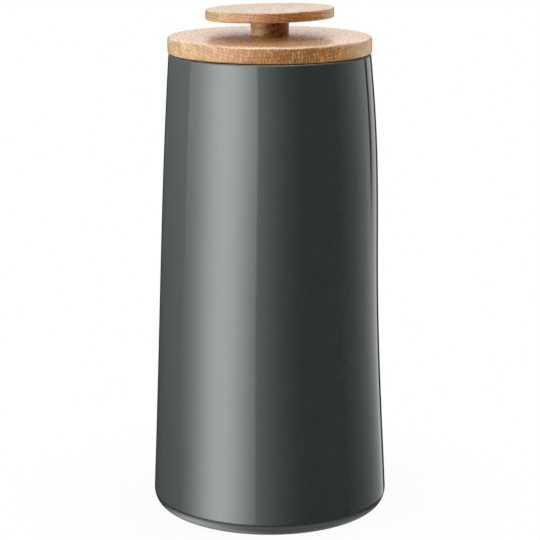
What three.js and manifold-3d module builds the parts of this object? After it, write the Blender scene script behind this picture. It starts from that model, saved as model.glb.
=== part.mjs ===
// Storage canister: a tapered stoneware vessel with a beech lid, a disc knob on a stem and a silicone seal.
// Millimetres, +Z up, origin at the centre of the foot on the surface that the canister stands on.
// +X points to the side of the vessel with the soft hollow, and -Y to its front.

import * as THREE from "three";
import { mergeVertices } from "three/addons/utils/BufferGeometryUtils.js";
import Module from "manifold-3d";

const wasm = await Module();
wasm.setup();

// Vessel
const FOOT_DIAMETER = 110; // outside, at the top of the rounded foot edge
const RIM_DIAMETER = 91.8; // outside, just under the rounded rim
const BODY_HEIGHT = 212.2;
const WALL = 4.5;
const FLOOR = 6; // from the recess under the foot up to the inside
const FOOT_ROUND = 4.8;
const FOOT_RING_WIDTH = 6; // flat ring that the vessel stands on
const FOOT_RECESS = 1.5;
const RIM_ROUND_OUTSIDE = 1;
const RIM_ROUND_INSIDE = 1;
const INSIDE_CORNER_ROUND = 10; // between floor and wall
const MOUTH_BELOW_PLUG = 8; // straight part of the mouth that runs on below the plug
const MOUTH_FLARE = 12; // height over which the mouth widens to the inside wall
const SHOULDER_SWELL = 0.65; // gentle bulge of the wall above the middle
const SWELL_SKEW = 2; // above 1 moves the bulge up the wall
const SIDE_WAVE = 0.8; // hollow below and bulge above, on the +X side only
const WAVE_SKEW = 1.4; // above 1 moves the wave up the wall

// Lid board
const SEAT_GAP = 0.3; // between the rim and the lid board
const LID_OVERHANG = 0.35; // of the lid board's edge past the rim
const LID_THICKNESS = 7.4;
const LID_ROUND_TOP = 1.6;
const LID_ROUND_UNDER = 0.9;

// Plug under the lid board, with the groove for the seal
const PLUG_CLEARANCE = 1.2; // all round, between plug and mouth
const PLUG_BEVEL = 1;
const GROOVE_DROP = 3.5; // from the lid board down to the groove
const GROOVE_HEIGHT = 5;
const GROOVE_SILL = 3.5; // wood left below the groove
const GROOVE_DEPTH = 3;

// Seal
const SEAL_LIPS = 2;
const LIP_ROOT = 0.9; // thickness where a lip leaves the ring
const LIP_EDGE = 0.4; // thickness at a lip's edge
const LIP_RISE = 0.6; // how far a lip turns up

// Knob: a disc on a stem, set slightly askew
const STEM_DIAMETER = 17.4;
const STEM_HEIGHT = 7.9; // on the axis, from the lid board to the disc
const STEM_BEVEL = 0.4;
const TENON_DIAMETER = 10;
const LID_TENON = 4; // length of the stem's tenon in the lid board
const KNOB_TENON = 2; // length of the stem's tenon in the disc
const KNOB_DIAMETER = 58;
const KNOB_THICKNESS = 4.6;
const KNOB_ROUND = 0.8;
const KNOB_SIDE_TILT = THREE.MathUtils.degToRad(1.2); // lifts the disc's +X side
const KNOB_FRONT_TILT = THREE.MathUtils.degToRad(0.9); // lifts the disc's -Y side

// Screw and washer, driven up from below
const SCREW_DIAMETER = 4; // over the thread
const SCREW_CORE = 2.8;
const SCREW_PITCH = 1.8;
const SCREW_POINT = 3; // length of the tapered point
const THREAD_LENGTH = 12;
const HEAD_DIAMETER = 8;
const HEAD_HEIGHT = 2.6;
const HEAD_EDGE = 0.9; // straight rim of the head, below its dome
const HEAD_RECESS = 1.2; // from the plug's underside up to the head
const DRIVE_SPAN = 4.4;
const DRIVE_WIDTH = 1.1;
const DRIVE_DEPTH = 1.4;
const WASHER_DIAMETER = 10;
const WASHER_THICKNESS = 1;
const PILOT_COVER = 1; // wood left in the stem above the screw's hole

// Clearance of pieces that sit in one another
const FIT = 0.3;

// Most of a thickness that one rounding may take
const ROUND_SHARE = 0.45;

// Fineness of the round shapes
const LARGE_SIDES = 60;
const HIDDEN_SIDES = 48;
const SMALL_SIDES = 36;
const SCREW_SIDES = 12;
const THREAD_ROWS_PER_TURN = 6;
const WALL_ROWS = 12;
const INSIDE_ROWS = 6;
const ARC_DIVISIONS = 2;
const MERGE_DISTANCE = 1e-4;

// Radii and heights worked out from the sizes above
const footRadius = FOOT_DIAMETER / 2;
const rimRadius = RIM_DIAMETER / 2;
const mouthRadius = rimRadius - WALL;
const floorTop = FOOT_RECESS + FLOOR;
const largestRimRound = ROUND_SHARE * WALL;
const rimRoundOutside = Math.min(RIM_ROUND_OUTSIDE, largestRimRound);
const rimRoundInside = Math.min(RIM_ROUND_INSIDE, largestRimRound);
const wallTop = BODY_HEIGHT - rimRoundOutside;

const lidUnderside = BODY_HEIGHT + SEAT_GAP;
const lidTop = lidUnderside + LID_THICKNESS;
const lidRadius = rimRadius + LID_OVERHANG;

const plugRadius = mouthRadius - PLUG_CLEARANCE;
const plugUnderside = lidUnderside - GROOVE_DROP - GROOVE_HEIGHT - GROOVE_SILL;
const grooveTop = lidUnderside - GROOVE_DROP;
const grooveBottom = grooveTop - GROOVE_HEIGHT;
const grooveRadius = plugRadius - GROOVE_DEPTH;
const mouthBottom = plugUnderside - MOUTH_BELOW_PLUG;

const stemRadius = STEM_DIAMETER / 2;
const tenonRadius = TENON_DIAMETER / 2;
const mortiseRadius = tenonRadius + FIT;
const knobSeat = lidTop + STEM_HEIGHT;

const screwHoleRadius = SCREW_DIAMETER / 2 + FIT;
const pilotTop = knobSeat - PILOT_COVER;
const headTop = plugUnderside + HEAD_RECESS + HEAD_HEIGHT;
const washerTop = headTop + WASHER_THICKNESS;
const washerPocketRadius = WASHER_DIAMETER / 2 + FIT;
const screwTip = pilotTop - FIT;
const threadStart = screwTip - THREAD_LENGTH;

const QUARTER = Math.PI / 2;

const glazedStoneware = new THREE.MeshStandardMaterial({ color: 0x363e3b, roughness: 0.18, metalness: 0 });
const lidBeech = new THREE.MeshStandardMaterial({ color: 0xb58a5d, roughness: 0.55, metalness: 0 });
const knobBeech = new THREE.MeshStandardMaterial({ color: 0xb08155, roughness: 0.55, metalness: 0 });
const silicone = new THREE.MeshStandardMaterial({ color: 0xd9d7d0, roughness: 0.6, metalness: 0 });
const steel = new THREE.MeshStandardMaterial({ color: 0xb4b6b8, roughness: 0.35, metalness: 1 });

// Turns an outline of radius and height about the vertical axis.
function turn(outline, sides) {
  const geometry = new THREE.LatheGeometry(outline.getPoints(ARC_DIVISIONS), sides);
  return geometry.rotateX(QUARTER);
}

// A closed geometry as a solid that can be joined and cut.
function solid(geometry) {
  const bare = geometry.clone();
  bare.deleteAttribute("normal");
  bare.deleteAttribute("uv");
  const merged = mergeVertices(bare, MERGE_DISTANCE);
  const index = merged.index.array;
  const corners = [];
  for (let i = 0; i < index.length; i += 3) {
    const [a, b, c] = index.slice(i, i + 3);
    const isTriangle = a !== b && b !== c && c !== a;
    if (isTriangle) corners.push(a, b, c);
  }
  const vertProperties = merged.attributes.position.array;
  const triVerts = Uint32Array.from(corners);
  return new wasm.Manifold(new wasm.Mesh({ numProp: 3, vertProperties, triVerts }));
}

// A solid as a geometry again.
function shape(body) {
  const { vertProperties, triVerts } = body.getMesh();
  const geometry = new THREE.BufferGeometry();
  geometry.setAttribute("position", new THREE.BufferAttribute(vertProperties, 3));
  geometry.setIndex(new THREE.BufferAttribute(triVerts, 1));
  geometry.computeVertexNormals();
  return geometry;
}

function piece(name, geometry, material) {
  const mesh = new THREE.Mesh(geometry, material);
  mesh.name = name;
  return mesh;
}

// How far up the wall a height lies: 0 at the top of the foot edge, 1 where the rim's rounding starts.
function wallShare(z) {
  return THREE.MathUtils.clamp((z - FOOT_ROUND) / (wallTop - FOOT_ROUND), 0, 1);
}

// Outside radius of the wall away from the side wave: a straight cone with a gentle swell.
function wallRadius(z) {
  const share = wallShare(z);
  const cone = THREE.MathUtils.lerp(footRadius, rimRadius, share);
  return cone + SHOULDER_SWELL * Math.sin(Math.PI * share ** SWELL_SKEW);
}

// Change of the outside radius on the +X side, dying out towards -X: a hollow below and a bulge above.
function sideWave(x, radius, z) {
  const nearness = (1 + x / radius) / 2;
  return -SIDE_WAVE * nearness * Math.sin(2 * Math.PI * wallShare(z) ** WAVE_SKEW);
}

function vesselOutline() {
  const ringInside = footRadius - FOOT_ROUND - FOOT_RING_WIDTH;
  const flareBottom = mouthBottom - MOUTH_FLARE;
  const mouthRoundCentre = BODY_HEIGHT - rimRoundInside;
  const cornerTop = floorTop + INSIDE_CORNER_ROUND;
  const cornerRadius = wallRadius(cornerTop) - WALL;
  const outline = new THREE.Path();
  outline.moveTo(0, FOOT_RECESS);
  outline.lineTo(ringInside - FOOT_RECESS, FOOT_RECESS);
  outline.lineTo(ringInside, 0);
  outline.absarc(footRadius - FOOT_ROUND, FOOT_ROUND, FOOT_ROUND, -QUARTER, 0);
  for (let row = 1; row <= WALL_ROWS; row += 1) {
    const z = THREE.MathUtils.lerp(FOOT_ROUND, wallTop, row / WALL_ROWS);
    outline.lineTo(wallRadius(z), z);
  }
  outline.absarc(rimRadius - rimRoundOutside, wallTop, rimRoundOutside, 0, QUARTER);
  outline.absarc(mouthRadius + rimRoundInside, mouthRoundCentre, rimRoundInside, QUARTER, Math.PI);
  outline.lineTo(mouthRadius, mouthBottom);
  for (let row = 0; row < INSIDE_ROWS; row += 1) {
    const z = THREE.MathUtils.lerp(flareBottom, cornerTop, row / INSIDE_ROWS);
    outline.lineTo(wallRadius(z) - WALL, z);
  }
  outline.absarc(cornerRadius - INSIDE_CORNER_ROUND, cornerTop, INSIDE_CORNER_ROUND, 0, -QUARTER, true);
  outline.lineTo(0, floorTop);
  return outline;
}

// Stoneware vessel: the outside of its wall follows the side wave, its mouth and inside stay round.
function makeVessel() {
  const geometry = turn(vesselOutline(), LARGE_SIDES);
  const places = geometry.attributes.position;
  const place = new THREE.Vector3();
  for (let i = 0; i < places.count; i += 1) {
    place.fromBufferAttribute(places, i);
    const radius = Math.hypot(place.x, place.y);
    const isOutside = radius > wallRadius(place.z) - WALL / 2;
    if (isOutside) {
      const stretch = 1 + sideWave(place.x, radius, place.z) / radius;
      places.setXYZ(i, place.x * stretch, place.y * stretch, place.z);
    }
  }
  geometry.computeVertexNormals();
  return piece("vessel", geometry, glazedStoneware);
}

// Lid board with a mortise for the stem from above and the screw's hole below it.
function makeLidDisc() {
  const roundTop = Math.min(LID_ROUND_TOP, ROUND_SHARE * LID_THICKNESS);
  const roundUnder = Math.min(LID_ROUND_UNDER, ROUND_SHARE * LID_THICKNESS);
  const mortiseBottom = lidTop - LID_TENON - FIT;
  const outline = new THREE.Path();
  outline.moveTo(screwHoleRadius, lidUnderside);
  outline.lineTo(lidRadius - roundUnder, lidUnderside);
  outline.absarc(lidRadius - roundUnder, lidUnderside + roundUnder, roundUnder, -QUARTER, 0);
  outline.absarc(lidRadius - roundTop, lidTop - roundTop, roundTop, 0, QUARTER);
  outline.lineTo(mortiseRadius, lidTop);
  outline.lineTo(mortiseRadius, mortiseBottom);
  outline.lineTo(screwHoleRadius, mortiseBottom);
  outline.lineTo(screwHoleRadius, lidUnderside);
  return piece("lid_disc", turn(outline, LARGE_SIDES), lidBeech);
}

// Plug with the seal's groove round it, the screw's hole and a pocket for washer and head.
function makeLidPlug() {
  const outline = new THREE.Path();
  outline.moveTo(washerPocketRadius, plugUnderside);
  outline.lineTo(plugRadius - PLUG_BEVEL, plugUnderside);
  outline.lineTo(plugRadius, plugUnderside + PLUG_BEVEL);
  outline.lineTo(plugRadius, grooveBottom);
  outline.lineTo(grooveRadius, grooveBottom);
  outline.lineTo(grooveRadius, grooveTop);
  outline.lineTo(plugRadius, grooveTop);
  outline.lineTo(plugRadius, lidUnderside);
  outline.lineTo(screwHoleRadius, lidUnderside);
  outline.lineTo(screwHoleRadius, washerTop);
  outline.lineTo(washerPocketRadius, washerTop);
  outline.lineTo(washerPocketRadius, plugUnderside);
  return piece("lid_plug", turn(outline, HIDDEN_SIDES), lidBeech);
}

// Silicone ring in the groove, with thin lips that reach to the mouth.
function makeSealRing() {
  const bottom = grooveBottom + FIT;
  const top = grooveTop - FIT;
  const inside = grooveRadius + FIT;
  const lipEdge = mouthRadius - FIT;
  const lipSpacing = (top - bottom) / SEAL_LIPS;
  const outline = new THREE.Path();
  outline.moveTo(inside, bottom);
  outline.lineTo(plugRadius, bottom);
  for (let lip = 0; lip < SEAL_LIPS; lip += 1) {
    const root = bottom + (lip + 0.5) * lipSpacing - LIP_ROOT / 2;
    outline.lineTo(plugRadius, root);
    outline.lineTo(lipEdge, root + LIP_RISE);
    outline.lineTo(lipEdge, root + LIP_RISE + LIP_EDGE);
    outline.lineTo(plugRadius, root + LIP_ROOT);
  }
  outline.lineTo(plugRadius, top);
  outline.lineTo(inside, top);
  outline.lineTo(inside, bottom);
  return piece("seal_ring", turn(outline, HIDDEN_SIDES), silicone);
}

// Places a shape made in the knob disc's own tilted frame, whose origin is on the disc's underside.
function tiltToKnob(object) {
  object.position.z = knobSeat;
  object.rotation.set(-KNOB_FRONT_TILT, -KNOB_SIDE_TILT, 0);
  object.updateMatrix();
  return object;
}

// Stem with a tenon at each end and the screw's hole from below; its top is cut to the disc's tilt.
function makeKnobStem() {
  const uncutTop = knobSeat + stemRadius;
  const tenonBottom = lidTop - LID_TENON;
  const outline = new THREE.Path();
  outline.moveTo(0, pilotTop);
  outline.lineTo(screwHoleRadius, pilotTop);
  outline.lineTo(screwHoleRadius, tenonBottom);
  outline.lineTo(tenonRadius, tenonBottom);
  outline.lineTo(tenonRadius, lidTop);
  outline.lineTo(stemRadius - STEM_BEVEL, lidTop);
  outline.lineTo(stemRadius, lidTop + STEM_BEVEL);
  outline.lineTo(stemRadius, uncutTop);
  outline.lineTo(0, uncutTop);

  const { matrix } = tiltToKnob(new THREE.Object3D());
  const cutSize = 2 * STEM_DIAMETER;
  const cutter = new THREE.BoxGeometry(cutSize, cutSize, cutSize);
  cutter.translate(0, 0, cutSize / 2 - FIT);
  cutter.applyMatrix4(matrix);
  const tenonLength = KNOB_TENON + PILOT_COVER;
  const tenon = new THREE.CylinderGeometry(tenonRadius, tenonRadius, tenonLength, SMALL_SIDES);
  tenon.rotateX(QUARTER);
  tenon.translate(0, 0, KNOB_TENON - tenonLength / 2);
  tenon.applyMatrix4(matrix);

  const stem = solid(turn(outline, SMALL_SIDES)).subtract(solid(cutter)).add(solid(tenon));
  return piece("knob_stem", shape(stem), knobBeech);
}

// Grip disc with a blind mortise beneath.
function makeKnobDisc() {
  const radius = KNOB_DIAMETER / 2;
  const round = Math.min(KNOB_ROUND, ROUND_SHARE * KNOB_THICKNESS);
  const mortiseDepth = KNOB_TENON + FIT;
  const outline = new THREE.Path();
  outline.moveTo(0, mortiseDepth);
  outline.lineTo(mortiseRadius, mortiseDepth);
  outline.lineTo(mortiseRadius, 0);
  outline.lineTo(radius - round, 0);
  outline.absarc(radius - round, round, round, -QUARTER, 0);
  outline.absarc(radius - round, KNOB_THICKNESS - round, round, 0, QUARTER);
  outline.lineTo(0, KNOB_THICKNESS);
  return tiltToKnob(piece("knob_disc", turn(outline, LARGE_SIDES), knobBeech));
}

// Radius of the screw's shank at a height and a place round it: a helical ridge on a core with a point.
function shankRadius(z, angle) {
  const turns = (z - threadStart) / SCREW_PITCH;
  const ridge = Math.max(0, Math.cos(2 * Math.PI * turns - angle));
  const runIn = THREE.MathUtils.clamp(turns, 0, 1);
  const taper = Math.min(1, (screwTip - z) / SCREW_POINT);
  return (taper * (SCREW_CORE + (SCREW_DIAMETER - SCREW_CORE) * ridge * runIn)) / 2;
}

function makeScrewShank() {
  const rows = Math.round((THREAD_ROWS_PER_TURN * THREAD_LENGTH) / SCREW_PITCH);
  const outline = new THREE.Path();
  outline.moveTo(0, headTop - HEAD_EDGE);
  outline.lineTo(SCREW_CORE / 2, headTop - HEAD_EDGE);
  for (let row = 0; row < rows; row += 1) {
    outline.lineTo(SCREW_CORE / 2, THREE.MathUtils.lerp(threadStart, screwTip, row / rows));
  }
  outline.lineTo(0, screwTip);
  const geometry = turn(outline, SCREW_SIDES);
  const places = geometry.attributes.position;
  const place = new THREE.Vector3();
  for (let i = 0; i < places.count; i += 1) {
    place.fromBufferAttribute(places, i);
    const isThread = place.z >= threadStart && place.z < screwTip;
    if (isThread) {
      const angle = Math.atan2(place.y, place.x);
      const radius = shankRadius(place.z, angle);
      places.setXYZ(i, radius * Math.cos(angle), radius * Math.sin(angle), place.z);
    }
  }
  return geometry;
}

// Pan head: a straight rim under the washer and a low dome, which is half an ellipse across.
function makeScrewHead() {
  const radius = HEAD_DIAMETER / 2;
  const domeHeight = HEAD_HEIGHT - HEAD_EDGE;
  const outline = new THREE.Path();
  outline.moveTo(0, headTop - HEAD_HEIGHT);
  outline.absellipse(0, headTop - HEAD_EDGE, radius, domeHeight, -QUARTER, 0);
  outline.lineTo(radius, headTop);
  outline.lineTo(0, headTop);
  return turn(outline, SMALL_SIDES);
}

// Wood screw with a cross recess in its head.
function makeKnobScrew() {
  const slot = new THREE.BoxGeometry(DRIVE_SPAN, DRIVE_WIDTH, 2 * DRIVE_DEPTH);
  slot.translate(0, 0, headTop - HEAD_HEIGHT);
  const crossSlot = slot.clone().rotateZ(QUARTER);
  const body = solid(makeScrewHead()).add(solid(makeScrewShank()));
  const screw = body.subtract(solid(slot)).subtract(solid(crossSlot));
  return piece("knob_screw", shape(screw), steel);
}

function makeScrewWasher() {
  const outline = new THREE.Path();
  outline.moveTo(screwHoleRadius, headTop);
  outline.lineTo(WASHER_DIAMETER / 2, headTop);
  outline.lineTo(WASHER_DIAMETER / 2, washerTop);
  outline.lineTo(screwHoleRadius, washerTop);
  outline.lineTo(screwHoleRadius, headTop);
  return piece("screw_washer", turn(outline, SMALL_SIDES), steel);
}

const lid = new THREE.Group();
lid.add(makeLidDisc(), makeLidPlug(), makeSealRing(), makeKnobStem(), makeKnobDisc());
lid.add(makeKnobScrew(), makeScrewWasher());

const canister = new THREE.Group();
canister.add(makeVessel(), lid);

export default canister;
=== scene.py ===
# Looks of the storage canister: a glazed stoneware vessel with a beech lid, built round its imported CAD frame.
# Blender works in metres; +Z is up and -Y points to the camera, as in the CAD model.

import math
from typing import NamedTuple

import bmesh
import bpy
from mathutils import Matrix, Vector


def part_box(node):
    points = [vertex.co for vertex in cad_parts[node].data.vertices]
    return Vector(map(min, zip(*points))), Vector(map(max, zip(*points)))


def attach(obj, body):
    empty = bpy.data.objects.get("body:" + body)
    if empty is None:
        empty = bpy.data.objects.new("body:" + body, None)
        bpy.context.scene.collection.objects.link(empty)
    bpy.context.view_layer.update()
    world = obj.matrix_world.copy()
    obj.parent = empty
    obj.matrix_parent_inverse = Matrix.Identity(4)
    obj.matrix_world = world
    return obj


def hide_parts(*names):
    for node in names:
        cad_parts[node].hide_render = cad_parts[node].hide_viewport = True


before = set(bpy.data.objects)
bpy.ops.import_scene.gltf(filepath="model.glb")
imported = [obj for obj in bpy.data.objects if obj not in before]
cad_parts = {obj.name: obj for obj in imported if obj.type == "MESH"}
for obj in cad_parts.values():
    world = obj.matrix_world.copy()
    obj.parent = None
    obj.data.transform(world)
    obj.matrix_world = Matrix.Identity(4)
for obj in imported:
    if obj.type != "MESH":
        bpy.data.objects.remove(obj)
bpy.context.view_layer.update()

MM = 0.001
UP = (0, 0, 1)

# Sizes that the frame gives
FOOT_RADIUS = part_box("vessel")[1].x
BODY_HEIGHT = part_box("vessel")[1].z
LID_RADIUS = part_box("lid_disc")[1].x
LID_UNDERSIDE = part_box("lid_disc")[0].z
LID_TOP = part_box("lid_disc")[1].z
PLUG_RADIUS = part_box("lid_plug")[1].x
PLUG_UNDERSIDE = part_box("lid_plug")[0].z
STEM_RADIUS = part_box("knob_stem")[1].y
STEM_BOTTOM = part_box("knob_stem")[0].z
KNOB_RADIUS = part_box("knob_disc")[1].y
SEAL_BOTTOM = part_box("seal_ring")[0].z
SEAL_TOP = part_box("seal_ring")[1].z
LIP_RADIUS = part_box("seal_ring")[1].x
SCREW_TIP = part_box("knob_screw")[1].z
HEAD_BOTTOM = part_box("knob_screw")[0].z
HEAD_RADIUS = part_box("knob_screw")[1].x
WASHER_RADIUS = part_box("screw_washer")[1].x
WASHER_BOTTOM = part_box("screw_washer")[0].z
WASHER_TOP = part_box("screw_washer")[1].z

# Vessel, as in the CAD model
RIM_RADIUS = 45.9 * MM
WALL = 4.5 * MM
FLOOR_TOP = 7.5 * MM
FOOT_ROUND = 4.8 * MM
FOOT_RING_WIDTH = 6 * MM
FOOT_RECESS = 1.5 * MM
RIM_ROUND_INSIDE = 1 * MM
INSIDE_CORNER_ROUND = 10 * MM
MOUTH_BELOW_PLUG = 8 * MM
MOUTH_FLARE = 12 * MM
SHOULDER_SWELL = 0.65 * MM
SWELL_SKEW = 2
SIDE_WAVE = 0.8 * MM
WAVE_SKEW = 1.4
MOUTH_RADIUS = RIM_RADIUS - WALL

# Lid, plug, seal and knob, as in the CAD model
LID_ROUND_TOP = 1.6 * MM
LID_ROUND_UNDER = 0.9 * MM
GROOVE_DEPTH = 3 * MM
GROOVE_RADIUS = PLUG_RADIUS - GROOVE_DEPTH
PLUG_BEVEL = 1 * MM
SEAL_LIPS = 2
LIP_ROOT = 0.9 * MM
LIP_EDGE = 0.4 * MM
LIP_RISE = 0.6 * MM
TENON_RADIUS = 5 * MM
KNOB_TENON = 2 * MM
STEM_HEIGHT = 7.9 * MM
KNOB_SEAT = LID_TOP + STEM_HEIGHT
KNOB_THICKNESS = 4.6 * MM
KNOB_ROUND = 0.8 * MM
KNOB_SIDE_TILT = math.radians(1.2)
KNOB_FRONT_TILT = math.radians(0.9)
FIT = 0.3 * MM

# Screw, as in the CAD model
SCREW_RADIUS = 2 * MM
SCREW_CORE_RADIUS = 1.4 * MM
SCREW_PITCH = 1.8 * MM
SCREW_POINT = 3 * MM
THREAD_LENGTH = 12 * MM
HEAD_EDGE = 0.9 * MM
DRIVE_SPAN = 4.4 * MM
DRIVE_WIDTH = 1.1 * MM
DRIVE_DEPTH = 1.4 * MM

# Edges that the looks draw in their own way, inside the CAD model's box
FOOT_CURVE_HEIGHT = 6.3 * MM
RIM_ROUND_OUTSIDE = 0.7 * MM
WALL_TOP = BODY_HEIGHT - RIM_ROUND_OUTSIDE
SOFT_EDGE = 0.3 * MM
SEAL_EDGE = 0.15 * MM

# Fineness of the round shapes
LARGE_SIDES = 192
SMALL_SIDES = 96
WALL_ROWS = 64
INSIDE_ROWS = 32
ARC_STEPS = 10
CORNER_STEPS = 4
THREAD_ROWS_PER_TURN = 14
SHARP_ANGLE = math.radians(40)
MERGE_DISTANCE = 1e-7

# Places of the sockets of Blender's colour Mix node
MIX_FACTOR = 0
MIX_FROM = 6
MIX_TO = 7
MIX_RESULT = 2


class Value:
    """An output of a shader graph, which arithmetic turns into Math nodes."""

    def __init__(self, graph, socket):
        self.graph = graph
        self.socket = socket

    def __add__(self, other):
        return self.graph.math("ADD", self, other)

    def __radd__(self, other):
        return self.graph.math("ADD", other, self)

    def __sub__(self, other):
        return self.graph.math("SUBTRACT", self, other)

    def __rsub__(self, other):
        return self.graph.math("SUBTRACT", other, self)

    def __mul__(self, other):
        return self.graph.math("MULTIPLY", self, other)

    def __rmul__(self, other):
        return self.graph.math("MULTIPLY", other, self)

    def __truediv__(self, other):
        return self.graph.math("DIVIDE", self, other)

    def __rtruediv__(self, other):
        return self.graph.math("DIVIDE", other, self)


class Graph:
    """A node tree that is filled by Python expressions."""

    def __init__(self, tree):
        self.tree = tree
        tree.nodes.clear()

    def node(self, kind, settings=None, inputs=None):
        node = self.tree.nodes.new(kind)
        for name, setting in (settings or {}).items():
            setattr(node, name, setting)
        for key, value in (inputs or {}).items():
            if isinstance(value, Value):
                self.tree.links.new(value.socket, node.inputs[key])
            else:
                node.inputs[key].default_value = value
        return node

    def value(self, kind, settings=None, inputs=None, output=0):
        return Value(self, self.node(kind, settings, inputs).outputs[output])

    def math(self, operation, *operands):
        return self.value("ShaderNodeMath", {"operation": operation}, dict(enumerate(operands)))

    def place(self):
        """The point on the object, in millimetres."""
        metres = self.value("ShaderNodeTexCoord", output="Object")
        return self.value("ShaderNodeVectorMath", {"operation": "SCALE"}, {0: metres, "Scale": 1 / MM})

    def along(self, place, direction):
        """How far a point lies along a direction."""
        settings = {"operation": "DOT_PRODUCT"}
        return self.value("ShaderNodeVectorMath", settings, {0: place, 1: tuple(direction)}, "Value")

    def length(self, vector):
        return self.value("ShaderNodeVectorMath", {"operation": "LENGTH"}, {0: vector}, "Value")

    def axis_distance(self, place):
        """How far a point lies from the canister's axis."""
        settings = {"operation": "MULTIPLY"}
        return self.length(self.value("ShaderNodeVectorMath", settings, {0: place, 1: (1, 1, 0)}))

    def vector(self, x, y, z):
        return self.value("ShaderNodeCombineXYZ", inputs={0: x, 1: y, 2: z})

    def noise(self, place, scale, detail, roughness=0.5):
        inputs = {"Vector": place, "Scale": scale, "Detail": detail, "Roughness": roughness}
        return self.value("ShaderNodeTexNoise", inputs=inputs)

    def smooth(self, value, low, high):
        """0 below low, 1 above high and a smooth rise between them."""
        inputs = {"Value": value, "From Min": low, "From Max": high}
        return self.value("ShaderNodeMapRange", {"interpolation_type": "SMOOTHSTEP"}, inputs)

    def limit(self, value):
        """The value, kept between 0 and 1."""
        return self.math("MINIMUM", self.math("MAXIMUM", value, 0.0), 1.0)

    def mix(self, factor, start, end):
        inputs = {MIX_FACTOR: factor, MIX_FROM: start, MIX_TO: end}
        return self.value("ShaderNodeMix", {"data_type": "RGBA"}, inputs, MIX_RESULT)

    def bump(self, height, distance):
        inputs = {"Height": height, "Distance": distance, "Strength": 1.0}
        return self.value("ShaderNodeBump", inputs=inputs)

    def mix_shader(self, factor, first, second):
        return self.value("ShaderNodeMixShader", inputs={0: factor, 1: first, 2: second})

    def emission(self, strength):
        inputs = {"Color": colour(1, 1, 1), "Strength": strength}
        return self.value("ShaderNodeEmission", inputs=inputs)

    def output(self, shader):
        self.node("ShaderNodeOutputMaterial", inputs={"Surface": shader})

    def surface(self, inputs):
        """Ends the graph in a Principled shader."""
        self.output(self.value("ShaderNodeBsdfPrincipled", inputs=inputs))


def new_material(name):
    material = bpy.data.materials.new(name)
    material.use_nodes = True
    return material, Graph(material.node_tree)


def colour(red, green, blue):
    return (red, green, blue, 1.0)


# Glaze

BARE_EDGE_SHARE = 0.62  # how far in on the foot's rounding the glaze ends
GLAZE_IOR = 2.0
GLAZE_TINT = colour(0.93, 1.0, 0.97)


def glaze_tone(graph, place, height):
    """Dark grey-green with a broad mottle, small clouds and specks; thin and paler just above the foot."""
    mottle = graph.noise(place, 0.09, 3.0)
    cloud = graph.smooth(graph.noise(place, 0.3, 2.0), 0.4, 0.75)
    specks = graph.smooth(graph.noise(place, 1.6, 1.0), 0.80, 0.86)
    thin = 1 - graph.smooth(height, 1.2, 3.6)
    tone = graph.mix(mottle, colour(0.036, 0.046, 0.0425), colour(0.045, 0.057, 0.053))
    tone = graph.mix(cloud * 0.35, tone, colour(0.031, 0.040, 0.037))
    tone = graph.mix(specks * 0.5, tone, colour(0.018, 0.020, 0.017))
    return graph.mix(thin * 0.8, tone, colour(0.130, 0.116, 0.080))


def bare_ring(graph, place, height):
    """1 on the unglazed ring that the vessel stands on, where the glaze ends in a wavering line."""
    inside = (FOOT_RADIUS - FOOT_ROUND - FOOT_RING_WIDTH) / MM
    outside = (FOOT_RADIUS - FOOT_ROUND * BARE_EDGE_SHARE) / MM
    radius = graph.axis_distance(place)
    waver = graph.noise(place, 0.35, 2.0) * 0.5
    past_inside = graph.smooth(radius, inside - 0.9, inside - 0.5)
    past_outside = graph.smooth(radius + waver, outside + 0.1, outside + 0.4)
    raised = graph.smooth(height, 1.0, 1.4)
    return past_inside * (1 - past_outside) * (1 - raised)


def rim_lip_shade(graph, height):
    """1 on the rim's lip, from the foot of its rounding upwards, where the shade under the lid is painted."""
    start = WALL_TOP - 0.1 * RIM_ROUND_OUTSIDE
    end = WALL_TOP + 0.2 * RIM_ROUND_OUTSIDE
    return graph.smooth(height, start / MM, end / MM)


def glaze_material():
    """Glossy glaze over a bare clay foot ring; the lip under the lid is dull, with the shade under the lid
    painted on it as near black.
    """
    material, graph = new_material("glazed_stoneware")
    place = graph.place()
    height = graph.along(place, UP)
    bare = bare_ring(graph, place, height)
    lip = rim_lip_shade(graph, height)
    grit = graph.noise(place, 2.6, 4.0, 0.7)
    clay = graph.mix(grit, colour(0.46, 0.40, 0.32), colour(0.66, 0.60, 0.51))
    tone = graph.mix(bare, glaze_tone(graph, place, height), clay)
    # Painted shade: the lip under the lid is made near black.
    tone = graph.mix(lip, tone, colour(0.012, 0.014, 0.013))

    gloss = 0.035 + 0.03 * graph.noise(place, 0.25, 2.0)
    roughness = gloss + bare * (0.8 - gloss) + lip * 0.6
    swell = graph.noise(place, 0.035, 1.0)
    skin = graph.bump(swell + bare * grit * 0.4, 0.05 * MM)
    inputs = {"Base Color": tone, "Roughness": roughness, "Normal": skin}
    inputs["IOR"] = GLAZE_IOR
    inputs["Specular Tint"] = GLAZE_TINT
    graph.surface(inputs)
    return material


# Beech

# Light and dark tone of each kind of grain
# The side grain's paler tone is partly the wood's own and partly painted sheen.
SIDE_GRAIN_AND_SHEEN = [colour(0.64, 0.435, 0.215), colour(0.36, 0.20, 0.078)]
END_GRAIN = [colour(0.50, 0.20, 0.040), colour(0.22, 0.072, 0.010)]
# The stem's end grain: darker with oil, and darker still as painted shade where it faces front right.
STEM_END_GRAIN_AND_SHADE = [colour(0.31, 0.10, 0.02), colour(0.09, 0.022, 0.004)]
PALE_RAY = colour(0.76, 0.50, 0.25)
DARK_RAY = colour(0.20, 0.065, 0.015)
# Painted warm light for the lid's top: the warm light that the knob and lid throw on each other.
PAINTED_WARM_LIGHT = colour(0.64, 0.26, 0.085)
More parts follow.
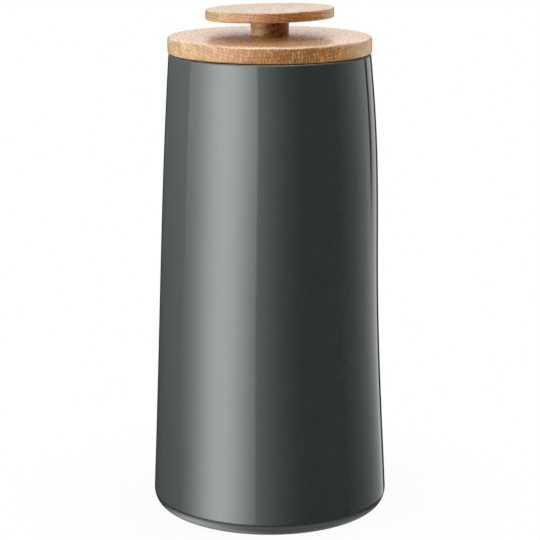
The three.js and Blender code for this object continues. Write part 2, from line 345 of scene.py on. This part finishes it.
# A darker tone for the knob's top.
DARK_KNOB_TOP = colour(0.20, 0.075, 0.022)
LID_GRAIN_SLOPE = math.radians(18)


class Board(NamedTuple):
    """How a piece of beech was cut from the log, how its end grain has taken the oil, and what tone its top is
    given.
    """

    grain: tuple  # along the fibres
    rings: tuple  # across the growth rings
    ring_width: float  # in millimetres
    end_grain: list
    flecks: float  # strength of the rays, from 0 to 1
    top_tone: tuple
    top_share: float  # how far the top takes on top_tone
    ior: float  # higher where the oil is polished


LID_BOARD = Board(
    grain=(-0.10, math.cos(LID_GRAIN_SLOPE), math.sin(LID_GRAIN_SLOPE)),
    rings=(0, -math.sin(LID_GRAIN_SLOPE), math.cos(LID_GRAIN_SLOPE)),
    ring_width=1.5,
    end_grain=END_GRAIN,
    flecks=0.6,
    top_tone=PAINTED_WARM_LIGHT,
    top_share=0.35,
    ior=1.75,
)
KNOB_BOARD = Board(
    grain=(-0.12, 1, 0.02),
    rings=(0.12, 0, 0.99),
    ring_width=1.4,
    end_grain=END_GRAIN,
    flecks=0.15,
    top_tone=DARK_KNOB_TOP,
    top_share=0.42,
    ior=1.75,
)
# The stem's grain runs so that its dark end grain faces front right, as painted shade on that side.
STEM_BOARD = Board(
    grain=(0.5, -0.87, 0),
    rings=(-0.29, -0.167, 0.956),
    ring_width=3.2,
    end_grain=STEM_END_GRAIN_AND_SHADE,
    flecks=0.2,
    top_tone=PAINTED_WARM_LIGHT,
    top_share=0,
    ior=1.45,
)


def beech_material(name, board):
    """Oiled beech as a solid block with rings, fibres and rays; its end grain has soaked up more oil. The paler
    side grain is partly painted sheen, and the top's own tone is painted warm light on the lid.
    """
    material, graph = new_material(name)
    grain = Vector(board.grain).normalized()
    side = Vector(board.rings).cross(grain).normalized()
    place = graph.place()
    along = graph.along(place, grain)
    across = graph.along(place, side)
    depth = graph.along(place, grain.cross(side))
    normal = graph.value("ShaderNodeTexCoord", output="Normal")
    top = graph.smooth(graph.along(normal, UP), 0.6, 0.95)
    end = graph.smooth(graph.math("ABSOLUTE", graph.along(normal, grain)), 0.46, 0.92)

    drift = graph.noise(graph.vector(along * 0.012, across * 0.05, depth * 0.05), 1.0, 2.0)
    phase = graph.math("FRACT", (depth + drift * 5) / board.ring_width)
    late = graph.smooth(phase, 0.35, 0.9) - graph.smooth(phase, 0.9, 1.0)
    fibre = graph.noise(graph.vector(along * 0.12, across * 1.2, depth * 1.2), 1.0, 3.0, 0.6)
    band = graph.noise(graph.vector(along * 0.03, across * 0.25, depth * 0.3), 1.0, 2.0)
    ray = graph.noise(graph.vector(along * 0.15, across * 1.5, depth * 0.35), 1.0, 1.0)
    ray = graph.smooth(ray, 0.50, 0.64) * board.flecks

    shade = graph.limit(0.22 + 0.55 * late + 3.0 * (fibre - 0.5) + 1.3 * (band - 0.5))
    # Side grain, paler partly as painted sheen, and end grain, darker with oil; on the stem the end grain is
    # also painted shade.
    tone = graph.mix(end, graph.mix(shade, *SIDE_GRAIN_AND_SHEEN), graph.mix(shade, *board.end_grain))
    tone = graph.mix(ray * (1 - top) * 0.7, tone, PALE_RAY)
    # The top's own tone: painted warm light on the lid, a darker tone on the knob.
    tone = graph.mix(board.top_share * top, tone, board.top_tone)
    tone = graph.mix(ray * top, tone, DARK_RAY)

    roughness = 0.24 + 0.08 * fibre + 0.045 * top + 0.20 * ray
    skin = graph.bump(fibre * 0.6 - ray - late * 0.2, 0.03 * MM)
    graph.surface({"Base Color": tone, "Roughness": roughness, "Normal": skin, "IOR": board.ior})
    return material


# Silicone and steel


def silicone_material():
    """Milky silicone with a satin skin and a little dust."""
    material, graph = new_material("silicone")
    place = graph.place()
    cloud = graph.noise(place, 0.4, 3.0)
    dust = graph.smooth(graph.noise(place, 4.0, 2.0), 0.6, 0.8)
    tone = graph.mix(cloud, colour(0.66, 0.65, 0.60), colour(0.74, 0.73, 0.69))
    tone = graph.mix(dust * 0.2, tone, colour(0.52, 0.50, 0.45))
    roughness = 0.36 + 0.2 * cloud + 0.15 * dust
    skin = graph.bump(graph.noise(place, 6.0, 2.0), 0.01 * MM)
    inputs = {"Base Color": tone, "Roughness": roughness, "Normal": skin}
    inputs["Subsurface Weight"] = 0.25
    inputs["Subsurface Scale"] = 1.5 * MM
    graph.surface(inputs)
    return material


def steel_material():
    """Zinc-plated steel: fine turning marks, a spangled tone and dull spots."""
    material, graph = new_material("steel")
    place = graph.place()
    radius = graph.axis_distance(place)
    height = graph.along(place, UP)
    turning = graph.noise(graph.vector(radius * 9.0, height * 9.0, 0.0), 1.0, 2.0)
    spangle = graph.noise(place, 1.6, 2.0)
    dull = graph.smooth(graph.noise(place, 0.9, 3.0), 0.5, 0.7)
    tone = graph.mix(spangle, colour(0.50, 0.51, 0.53), colour(0.64, 0.65, 0.66))
    tone = graph.mix(dull * 0.4, tone, colour(0.42, 0.42, 0.41))
    roughness = 0.22 + 0.14 * turning + 0.18 * dull
    skin = graph.bump(turning, 0.012 * MM)
    graph.surface({"Base Color": tone, "Roughness": roughness, "Metallic": 1.0, "Normal": skin})
    return material


# Outlines and meshes


def arc(centre_radius, centre_height, size, start, end, steps=ARC_STEPS, stretch=1.0):
    """Points of an arc in an outline, between two angles in degrees; stretch makes it taller than wide."""
    points = []
    for step in range(steps + 1):
        angle = math.radians(start + (end - start) * step / steps)
        height = centre_height + size * stretch * math.sin(angle)
        points.append((centre_radius + size * math.cos(angle), height))
    return points


def rounded(corners, size):
    """A closed outline with each corner cut by a small curve."""
    points = []
    for before, corner, after in zip(corners[-1:] + corners[:-1], corners, corners[1:] + corners[:1]):
        corner = Vector(corner)
        start = corner + (Vector(before) - corner).normalized() * size
        end = corner + (Vector(after) - corner).normalized() * size
        for step in range(CORNER_STEPS + 1):
            share = step / CORNER_STEPS
            curve = start.lerp(corner, share).lerp(corner.lerp(end, share), share)
            points.append((curve.x, curve.y))
    return points


def turned(outline, sides, closed=False):
    """A shape turned about the vertical axis from points of radius and height."""
    shape = bmesh.new()
    rings = []
    for radius, height in outline:
        count = sides if radius > MERGE_DISTANCE else 1
        angles = [2 * math.pi * side / sides for side in range(count)]
        rings.append([shape.verts.new((radius * math.cos(a), radius * math.sin(a), height)) for a in angles])
    following = rings[1:] + rings[:1] if closed else rings[1:]
    for lower, upper in zip(rings, following):
        for side in range(sides):
            corners = [lower[side % len(lower)], lower[(side + 1) % len(lower)]]
            corners += [upper[(side + 1) % len(upper)], upper[side % len(upper)]]
            shape.faces.new(dict.fromkeys(corners))
    bmesh.ops.remove_doubles(shape, verts=shape.verts, dist=MERGE_DISTANCE)
    bmesh.ops.recalc_face_normals(shape, faces=shape.faces)
    return shape


def mesh_from(shape, name):
    mesh = bpy.data.meshes.new(name)
    shape.to_mesh(mesh)
    shape.free()
    return mesh


def add_object(name, data):
    item = bpy.data.objects.new(name, data)
    bpy.context.scene.collection.objects.link(item)
    return item


def make_piece(name, shape, material, body):
    """Turns a shape into a piece that stands for the CAD node of its name."""
    mesh = mesh_from(shape, name + "_look")
    mesh.shade_smooth()
    mesh.set_sharp_from_angle(angle=SHARP_ANGLE)
    mesh.materials.append(material)
    piece = add_object(name + "_look", mesh)
    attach(piece, body)
    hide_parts(name)
    return piece


# Vessel


def wall_share(height):
    """How far up the wall a height lies: 0 at the top of the foot edge, 1 where the rim's rounding starts."""
    share = (height - FOOT_ROUND) / (WALL_TOP - FOOT_ROUND)
    return min(max(share, 0.0), 1.0)


def wall_radius(height):
    """Outside radius of the tapered wall, with its soft swell below the rim."""
    share = wall_share(height)
    cone = FOOT_RADIUS + (RIM_RADIUS - FOOT_RADIUS) * share
    return cone + SHOULDER_SWELL * math.sin(math.pi * share**SWELL_SKEW)


def side_wave(x, radius, height):
    """Change of the outside radius on the +X side: a hollow below and a bulge above."""
    nearness = (1 + x / radius) / 2
    return -SIDE_WAVE * nearness * math.sin(2 * math.pi * wall_share(height) ** WAVE_SKEW)


def outside_outline():
    """From the middle of the underside, over the foot ring and up the wall to the rim."""
    ring_outside = FOOT_RADIUS - FOOT_ROUND
    ring_inside = ring_outside - FOOT_RING_WIDTH
    outline = [(0, FOOT_RECESS), (ring_inside - FOOT_RECESS, FOOT_RECESS), (ring_inside, 0)]
    foot_curve = wall_radius(FOOT_CURVE_HEIGHT) - ring_outside
    stretch = FOOT_CURVE_HEIGHT / foot_curve
    outline += arc(ring_outside, FOOT_CURVE_HEIGHT, foot_curve, -90, 0, 2 * ARC_STEPS, stretch)
    for row in range(1, WALL_ROWS):
        height = FOOT_ROUND + (WALL_TOP - FOOT_ROUND) * row / WALL_ROWS
        outline.append((wall_radius(height), height))
    return outline + arc(RIM_RADIUS - RIM_ROUND_OUTSIDE, WALL_TOP, RIM_ROUND_OUTSIDE, 0, 90)


def inside_outline():
    """From the rim, down the straight mouth and the wall to the middle of the floor."""
    mouth_bottom = PLUG_UNDERSIDE - MOUTH_BELOW_PLUG
    flare_bottom = mouth_bottom - MOUTH_FLARE
    corner_top = FLOOR_TOP + INSIDE_CORNER_ROUND
    corner_radius = wall_radius(corner_top) - WALL - INSIDE_CORNER_ROUND
    rim_height = BODY_HEIGHT - RIM_ROUND_INSIDE
    outline = arc(MOUTH_RADIUS + RIM_ROUND_INSIDE, rim_height, RIM_ROUND_INSIDE, 90, 180)
    outline.append((MOUTH_RADIUS, mouth_bottom))
    for row in range(INSIDE_ROWS):
        height = flare_bottom + (corner_top - flare_bottom) * row / INSIDE_ROWS
        outline.append((wall_radius(height) - WALL, height))
    outline += arc(corner_radius, corner_top, INSIDE_CORNER_ROUND, 0, -90)
    outline.append((0, FLOOR_TOP))
    return outline


def make_vessel(glaze):
    shape = turned(outside_outline() + inside_outline(), LARGE_SIDES)
    for vertex in shape.verts:
        radius = vertex.co.xy.length
        if radius > wall_radius(vertex.co.z) - WALL / 2:
            stretch = 1 + side_wave(vertex.co.x, radius, vertex.co.z) / radius
            vertex.co.x *= stretch
            vertex.co.y *= stretch
    make_piece("vessel", shape, glaze, "vessel")


# Lid, plug and seal


def make_lid_disc(beech):
    hole = SCREW_RADIUS + FIT
    mortise = TENON_RADIUS + FIT
    mortise_bottom = STEM_BOTTOM - FIT
    outline = [(hole, LID_UNDERSIDE)]
    outline += arc(LID_RADIUS - LID_ROUND_UNDER, LID_UNDERSIDE + LID_ROUND_UNDER, LID_ROUND_UNDER, -90, 0)
    outline += arc(LID_RADIUS - LID_ROUND_TOP, LID_TOP - LID_ROUND_TOP, LID_ROUND_TOP, 0, 90)
    outline += [(mortise, LID_TOP), (mortise, mortise_bottom), (hole, mortise_bottom)]
    make_piece("lid_disc", turned(outline, LARGE_SIDES, closed=True), beech, "lid")


def make_lid_plug(beech):
    """Plug with a groove for the seal, and a pocket for the washer and the screw's head."""
    hole = SCREW_RADIUS + FIT
    pocket = WASHER_RADIUS + FIT
    corners = [(pocket, PLUG_UNDERSIDE), (PLUG_RADIUS - PLUG_BEVEL, PLUG_UNDERSIDE)]
    corners += [(PLUG_RADIUS, PLUG_UNDERSIDE + PLUG_BEVEL), (PLUG_RADIUS, SEAL_BOTTOM - FIT)]
    corners += [(GROOVE_RADIUS, SEAL_BOTTOM - FIT), (GROOVE_RADIUS, SEAL_TOP + FIT)]
    corners += [(PLUG_RADIUS, SEAL_TOP + FIT), (PLUG_RADIUS, LID_UNDERSIDE), (hole, LID_UNDERSIDE)]
    corners += [(hole, WASHER_TOP), (pocket, WASHER_TOP)]
    outline = rounded(corners, SOFT_EDGE)
    make_piece("lid_plug", turned(outline, LARGE_SIDES, closed=True), beech, "lid")


def make_seal_ring(silicone):
    """Ring with thin lips that turn up a little."""
    inside = GROOVE_RADIUS + FIT
    spacing = (SEAL_TOP - SEAL_BOTTOM) / SEAL_LIPS
    corners = [(inside, SEAL_BOTTOM), (PLUG_RADIUS, SEAL_BOTTOM)]
    for lip in range(SEAL_LIPS):
        root = SEAL_BOTTOM + (lip + 0.5) * spacing - LIP_ROOT / 2
        corners += [(PLUG_RADIUS, root), (LIP_RADIUS, root + LIP_RISE)]
        corners += [(LIP_RADIUS, root + LIP_RISE + LIP_EDGE), (PLUG_RADIUS, root + LIP_ROOT)]
    corners += [(PLUG_RADIUS, SEAL_TOP), (inside, SEAL_TOP)]
    outline = rounded(corners, SEAL_EDGE)
    make_piece("seal_ring", turned(outline, LARGE_SIDES, closed=True), silicone, "seal")


# Knob


def make_knob_stem(beech):
    """Stem with a tenon at each end; its top slopes with the disc."""
    hole = SCREW_RADIUS + FIT
    hole_top = SCREW_TIP + FIT
    shoulder = KNOB_SEAT - FIT
    outline = [(0, hole_top), (hole, hole_top), (hole, STEM_BOTTOM)]
    outline += [(TENON_RADIUS, STEM_BOTTOM), (TENON_RADIUS, LID_TOP)]
    outline += arc(STEM_RADIUS - SOFT_EDGE, LID_TOP + SOFT_EDGE, SOFT_EDGE, -90, 0, CORNER_STEPS)
    outline += [(STEM_RADIUS, shoulder), (TENON_RADIUS, shoulder)]
    outline += [(TENON_RADIUS, KNOB_SEAT + KNOB_TENON), (0, KNOB_SEAT + KNOB_TENON)]
    shape = turned(outline, SMALL_SIDES)
    for vertex in shape.verts:
        if vertex.co.z > shoulder - SOFT_EDGE:
            vertex.co.z += vertex.co.x * math.tan(KNOB_SIDE_TILT) - vertex.co.y * math.tan(KNOB_FRONT_TILT)
    make_piece("knob_stem", shape, beech, "lid")


def make_knob_disc(beech):
    """Grip disc with a mortise for the stem, tilted a little to the front and to one side."""
    mortise = TENON_RADIUS + FIT
    depth = KNOB_TENON + FIT
    outline = [(0, depth), (mortise, depth), (mortise, 0)]
    outline += arc(KNOB_RADIUS - KNOB_ROUND, KNOB_ROUND, KNOB_ROUND, -90, 0)
    outline += arc(KNOB_RADIUS - KNOB_ROUND, KNOB_THICKNESS - KNOB_ROUND, KNOB_ROUND, 0, 90)
    outline.append((0, KNOB_THICKNESS))
    shape = turned(outline, LARGE_SIDES)
    tilt = Matrix.Rotation(-KNOB_FRONT_TILT, 4, "X") @ Matrix.Rotation(-KNOB_SIDE_TILT, 4, "Y")
    shape.transform(Matrix.Translation((0, 0, KNOB_SEAT)) @ tilt)
    make_piece("knob_disc", shape, beech, "lid")


# Screw and washer


def screw_outline():
    """Domed head, then the shank's core in rows that are fine enough for the thread."""
    head_edge = WASHER_BOTTOM - HEAD_EDGE
    dome = head_edge - HEAD_BOTTOM
    outline = []
    for step in range(ARC_STEPS + 1):
        angle = math.pi / 2 * step / ARC_STEPS
        outline.append((HEAD_RADIUS * math.sin(angle), head_edge - dome * math.cos(angle)))
    outline += [(HEAD_RADIUS, WASHER_BOTTOM), (SCREW_CORE_RADIUS, WASHER_BOTTOM)]
    rows = round(THREAD_ROWS_PER_TURN * THREAD_LENGTH / SCREW_PITCH)
    for row in range(rows):
        outline.append((SCREW_CORE_RADIUS, SCREW_TIP - THREAD_LENGTH + THREAD_LENGTH * row / rows))
    outline.append((0, SCREW_TIP))
    return outline


def thread_radius(height, angle):
    """Radius of the screw's shank: a helical ridge on a core with a tapered point."""
    turns = (height - (SCREW_TIP - THREAD_LENGTH)) / SCREW_PITCH
    ridge = max(0.0, math.cos(2 * math.pi * turns - angle))
    run_in = min(max(turns, 0.0), 1.0)
    taper = min(1.0, (SCREW_TIP - height) / SCREW_POINT)
    return taper * (SCREW_CORE_RADIUS + (SCREW_RADIUS - SCREW_CORE_RADIUS) * ridge * run_in)


def drive_cutter(name, turn):
    """A bar that cuts one slot of the cross recess into the screw's head."""
    shape = bmesh.new()
    bmesh.ops.create_cube(shape, size=1)
    shape.transform(Matrix.Diagonal((DRIVE_SPAN, DRIVE_WIDTH, 2 * DRIVE_DEPTH, 1)))
    shape.transform(Matrix.Translation((0, 0, HEAD_BOTTOM)) @ Matrix.Rotation(turn, 4, "Z"))
    return add_object(name, mesh_from(shape, name))


def cut_away(piece, cutter):
    """Cuts one object from another for good, and removes the cutter."""
    cut = piece.modifiers.new("cut", "BOOLEAN")
    cut.operation = "DIFFERENCE"
    cut.solver = "EXACT"
    cut.object = cutter
    shown = piece.evaluated_get(bpy.context.evaluated_depsgraph_get())
    piece.data = bpy.data.meshes.new_from_object(shown)
    piece.modifiers.clear()
    bpy.data.objects.remove(cutter)


def make_knob_screw(steel):
    """Pan-head wood screw with a real thread and a cross recess."""
    shape = turned(screw_outline(), SMALL_SIDES)
    for vertex in shape.verts:
        if SCREW_TIP - THREAD_LENGTH <= vertex.co.z < SCREW_TIP:
            angle = math.atan2(vertex.co.y, vertex.co.x)
            radius = thread_radius(vertex.co.z, angle)
            vertex.co.x = radius * math.cos(angle)
            vertex.co.y = radius * math.sin(angle)
    screw = make_piece("knob_screw", shape, steel, "lid")
    cut_away(screw, drive_cutter("drive_slot", 0))
    cut_away(screw, drive_cutter("drive_cross", math.pi / 2))


def make_screw_washer(steel):
    hole = SCREW_RADIUS + FIT
    corners = [(hole, WASHER_BOTTOM), (WASHER_RADIUS, WASHER_BOTTOM)]
    corners += [(WASHER_RADIUS, WASHER_TOP), (hole, WASHER_TOP)]
    outline = rounded(corners, SEAL_EDGE)
    make_piece("screw_washer", turned(outline, SMALL_SIDES, closed=True), steel, "lid")


# Camera, backdrop and floor

CAMERA_PLACE = Vector((0.0001, -0.8293, 0.3085))
CAMERA_PITCH = math.radians(76.61)
CAMERA_LENS = 122.12
SENSOR_WIDTH = 36

AMBIENT = 0.06  # strength of the plain fill from all round
FLOOR_SIZE = 12.0
FLOOR_GAP = 0.2 * MM  # keeps the floor's face clear of the foot ring
FLOOR_GLOW = 0.30  # share of white in the floor for every ray
FLOOR_SEEN_GLOW = 0.65  # further share where the camera sees it
FLOOR_FAR_GLOW = 0.05  # last share, where no shadow falls
SHADOW_START = 50  # distances from the axis, in millimetres
SHADOW_END = 140


def make_camera():
    camera = bpy.data.cameras.new("camera")
    camera.lens = CAMERA_LENS
    camera.sensor_width = SENSOR_WIDTH
    holder = add_object("camera", camera)
    holder.location = CAMERA_PLACE
    holder.rotation_euler = (CAMERA_PITCH, 0, 0)
    bpy.context.scene.camera = holder


def make_world():
    """White where it is seen or mirrored, and a plain soft fill otherwise."""
    world = bpy.data.worlds.new("studio")
    world.use_nodes = True
    bpy.context.scene.world = world
    graph = Graph(world.node_tree)
    path = graph.node("ShaderNodeLightPath")
    camera_ray = Value(graph, path.outputs["Is Camera Ray"])
    glossy_ray = Value(graph, path.outputs["Is Glossy Ray"])
    transmission_ray = Value(graph, path.outputs["Is Transmission Ray"])
    seen = graph.math("MINIMUM", camera_ray + glossy_ray + transmission_ray, 1.0)
    strength = AMBIENT + (1 - AMBIENT) * seen
    light = graph.value("ShaderNodeBackground", inputs={"Color": colour(1, 1, 1), "Strength": strength})
    graph.node("ShaderNodeOutputWorld", inputs={"Surface": light})


def floor_material():
    """Pale floor that reads as white, keeps a soft shadow and is clear from below."""
    material, graph = new_material("floor")
    camera_ray = graph.value("ShaderNodeLightPath", output="Is Camera Ray")
    place = graph.place()
    far = graph.smooth(graph.length(place), SHADOW_START, SHADOW_END)
    speckle = graph.noise(place, 0.02, 3.0)
    pale = graph.mix(speckle, colour(0.86, 0.86, 0.86), colour(0.90, 0.90, 0.90))
    matt = graph.value("ShaderNodeBsdfDiffuse", inputs={"Color": pale})
    clear = graph.value("ShaderNodeBsdfTransparent")
    back = graph.value("ShaderNodeNewGeometry", output="Backfacing")
    white_share = FLOOR_GLOW + camera_ray * (FLOOR_SEEN_GLOW + FLOOR_FAR_GLOW * far)
    white = graph.mix_shader(white_share, matt, graph.emission(1.0))
    graph.output(graph.mix_shader(back, white, clear))
    return material


def make_floor():
    shape = bmesh.new()
    bmesh.ops.create_grid(shape, x_segments=1, y_segments=1, size=FLOOR_SIZE / 2)
    mesh = mesh_from(shape, "floor")
    mesh.materials.append(floor_material())
    floor = add_object("floor", mesh)
    floor.location.z = -FLOOR_GAP
    floor.visible_glossy = False


# Tent: what the gloss mirrors
# Azimuths are in degrees from the camera's side towards the left, and heights in metres.

TENT_RADIUS = 1.4
TENT_BOTTOM = -0.75
TENT_TOP = 4.0
TENT_ROWS = 95
GROUND_RADIUS = 0.75
GROUND_MIDDLE = 0.3  # glow of the ground's middle as a share of its edge
CARD_HEIGHT = 1.5
CARDS = [(-1.3, -0.5, 10.0), (-0.5, 1.4, 2.8)]  # front edge, back edge and glow

# Heights between which the wall's glow goes from its upper to its lower values
UPPER_HEIGHT = 0.16
LOWER_HEIGHT = -0.41

SOFTBOX_LEFT = 98
SOFTBOX_MIDDLE = 48
SOFTBOX_RIGHT = 13
SOFTBOX_SPREAD = 22


def ease(value, low, high):
    """0 below low, 1 above high and a smooth rise between them."""
    share = min(max((value - low) / (high - low), 0.0), 1.0)
    return share * share * (3 - 2 * share)


def window(value, start, full, fading, end):
    """1 between full and fading, with a smooth rise before and a smooth fall after."""
    return ease(value, start, full) * (1 - ease(value, fading, end))


def bell(value, middle, spread):
    return math.exp(-(((value - middle) / spread) ** 2) / 2)


def blend(start, end, share):
    return start + (end - start) * share


def softbox_glow(azimuth, low):
    """The large softbox at the front left."""
    edge = blend(1.9, 0.2, low)
    peak = blend(8.1, 7.4, low)
    return blend(edge, peak, bell(azimuth, SOFTBOX_MIDDLE, SOFTBOX_SPREAD))


def left_glow(azimuth, low):
    """Light that fades from the softbox's left edge to a dark back."""
    fade = math.exp(-(azimuth - 100) / blend(31, 24, low))
    return blend(1.32, 0.72, low) * fade * blend(1, 0.1, ease(azimuth, 156, 162))


def front_glow(azimuth, low):
    """A dark front that brightens towards the softbox's right edge."""
    return blend(1.85, 1.45, low) * max(0.0, (azimuth + 40) / 52) ** 2


def right_glow(azimuth, low):
    """A grey card that brightens to the back, with a dark gap that fades downwards."""
    start = blend(-73, -82, low)
    gap = window(azimuth, -138, -137, -132, -131) * (1 - ease(low, 0.32, 0.62))
    card = min(blend(0.0225, 0.0135, low) * max(0.0, start - azimuth), 0.95)
    edge = 1 + 0.15 * ease(-azimuth, 142, 147)
    return 0.02 + card * edge * (1 - gap) * ease(azimuth, -156, -153)


def high_glow(azimuth, height):
    """Light above the rim: the backdrop that the wood's tops mirror, and a strip for its left side."""
    back = 0.55 * ease(abs(azimuth), 160, 170) * ease(height, 0.24, 0.34)
    upper_back = 2.6 * ease(abs(azimuth), 110, 150) * ease(height, 0.45, 0.75)
    left_strip = 1.5 * window(azimuth, 60, 80, 114, 124) * window(height, 0.24, 0.30, 0.55, 0.65)
    return back + upper_back + left_strip


def tent_glow(azimuth, height):
    """Brightness of the tent's wall."""
    low = min(max((UPPER_HEIGHT - height) / (UPPER_HEIGHT - LOWER_HEIGHT), 0.0), 1.0)
    if azimuth > SOFTBOX_LEFT:
        glow = left_glow(azimuth, low)
    elif azimuth > SOFTBOX_RIGHT:
        glow = softbox_glow(azimuth, low)
    else:
        glow = front_glow(azimuth, low) + right_glow(azimuth, low) * blend(1, 0.2, ease(height, 0.27, 0.40))
    bottom_fade = blend(0.1, 1, ease(height, -0.62, -0.5))
    top_fade = blend(1, 0.1, ease(height, 0.6, 1.0))
    front_fade = blend(0.375, 1.02, ease(abs(azimuth), 80, 188))
    return max(glow * bottom_fade * top_fade * front_fade, high_glow(azimuth, height))


def ground_glow(azimuth):
    """Brightness of the ground where the foot's rounded edge mirrors it, highest at the left."""
    return 0.40 + 1.7 * bell(azimuth, 90, 32)


def add_wall_and_ground(shape):
    """Adds a column of points for each degree, from the ground's middle up the wall; returns their glow."""
    heights = [blend(TENT_BOTTOM, TENT_TOP, row / TENT_ROWS) for row in range(TENT_ROWS + 1)]
    glows = []
    columns = []
    for azimuth in range(-180, 181):
        across = -math.sin(math.radians(azimuth))
        ahead = -math.cos(math.radians(azimuth))
        places = [(0, TENT_BOTTOM), (GROUND_RADIUS, TENT_BOTTOM)]
        places += [(TENT_RADIUS, height) for height in heights]
        columns.append([shape.verts.new((r * across, r * ahead, height)) for r, height in places])
        ground = ground_glow(azimuth)
        glows += [ground * GROUND_MIDDLE, ground]
        glows += [tent_glow(azimuth, height) for height in heights]
    for first, second in zip(columns, columns[1:]):
        shape.faces.new([first[0], first[1], second[1]])
        for row in range(1, len(first) - 1):
            shape.faces.new([first[row], second[row], second[row + 1], first[row + 1]])
    return glows


def add_cards(shape):
    """Adds the overhead cards; returns the glow of their points."""
    glows = []
    for front, back, glow in CARDS:
        corners = [(-TENT_RADIUS, front), (TENT_RADIUS, front), (TENT_RADIUS, back), (-TENT_RADIUS, back)]
        shape.faces.new([shape.verts.new((x, y, CARD_HEIGHT)) for x, y in corners])
        glows += [glow] * len(corners)
    return glows


def make_tent():
    """A wall, a ground and overhead cards round the object that only its gloss sees."""
    shape = bmesh.new()
    glows = add_wall_and_ground(shape) + add_cards(shape)
    mesh = mesh_from(shape, "tent")
    mesh.attributes.new("glow", "FLOAT", "POINT").data.foreach_set("value", glows)
    material, graph = new_material("tent")
    graph.output(graph.emission(graph.value("ShaderNodeAttribute", {"attribute_name": "glow"}, output="Fac")))
    mesh.materials.append(material)
    tent = add_object("tent", mesh)
    tent.visible_camera = False
    tent.visible_diffuse = False
    tent.visible_transmission = False
    tent.visible_shadow = False


# Lamps


def make_lamp(name, place, aim, size, power):
    """A soft rectangular lamp that faces a point; the tent stands in for its mirror image."""
    light = bpy.data.lights.new(name, "AREA")
    light.shape = "RECTANGLE"
    light.size, light.size_y = size
    light.energy = power
    lamp = add_object(name, light)
    lamp.location = place
    lamp.rotation_euler = (Vector(aim) - Vector(place)).to_track_quat("-Z", "Y").to_euler()
    lamp.visible_camera = False
    lamp.visible_glossy = False


def make_lamps():
    middle = (0, 0, BODY_HEIGHT / 2)
    lid = (0, 0, LID_TOP)
    make_lamp("left_softbox", place=(-1.36, -0.24, 0.32), aim=middle, size=(1.2, 0.9), power=18)
    make_lamp("front_softbox", place=(-0.45, -1.2, 0.70), aim=middle, size=(1.2, 0.9), power=6.0)
    make_lamp("right_softbox", place=(1.08, 0.2, 0.52), aim=lid, size=(0.6, 0.5), power=6.2)
    make_lamp("overhead", place=(0, -0.1, 1.3), aim=lid, size=(1.2, 1.2), power=4.5)
    make_lamp("back_softbox", place=(0.5, 1.3, 0.5), aim=middle, size=(1.2, 0.9), power=6)


def make_canister():
    lid_beech = beech_material("lid_beech", LID_BOARD)
    steel = steel_material()
    make_vessel(glaze_material())
    make_lid_disc(lid_beech)
    make_lid_plug(lid_beech)
    make_seal_ring(silicone_material())
    make_knob_stem(beech_material("stem_beech", STEM_BOARD))
    make_knob_disc(beech_material("knob_beech", KNOB_BOARD))
    make_knob_screw(steel)
    make_screw_washer(steel)


def make_studio():
    make_camera()
    make_world()
    make_floor()
    make_tent()
    make_lamps()
    bpy.context.scene.view_settings.view_transform = "Standard"


make_canister()
make_studio()
